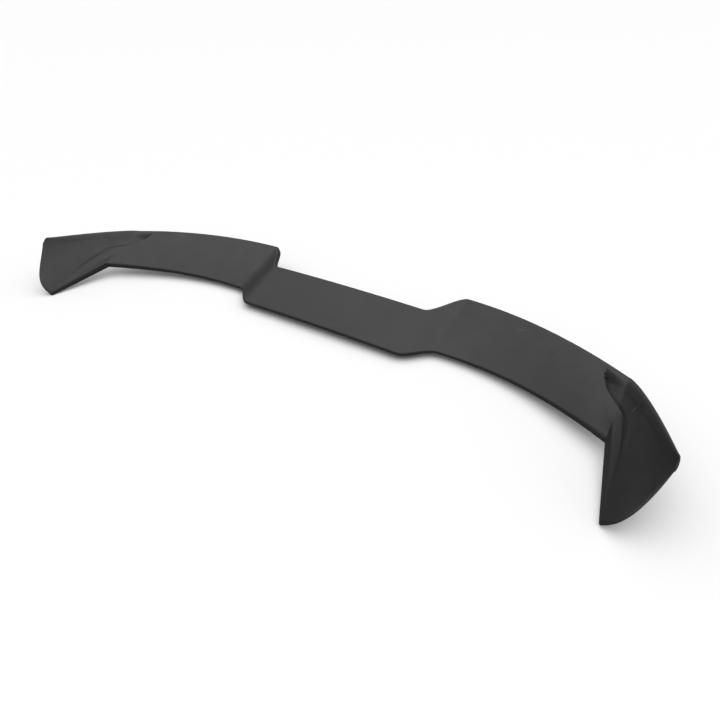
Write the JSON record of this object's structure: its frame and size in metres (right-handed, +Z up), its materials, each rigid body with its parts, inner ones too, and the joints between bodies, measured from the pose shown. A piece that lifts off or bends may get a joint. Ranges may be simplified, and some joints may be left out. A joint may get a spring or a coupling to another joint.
{
  "type": "car spoiler",
  "caption": "Wide rear spoiler cap formed from one black plastic sheet, with a stepped centre panel, swept wings and raised end fins, bonded over a tailgate's own spoiler.",
  "frame": {"origin": "under the middle of the sheet, level with the fin tips' lowest edge", "axes": "+X across the car, +Y forward towards the roof, +Z up"},
  "size_m": [1.144, 0.3348, 0.0917],
  "materials": {
    "black_sheet": "matte, finely grained"
  },
  "bodies": {
    "root": {"spoiler_cap": "black_sheet"}
  },
  "joints": []
}
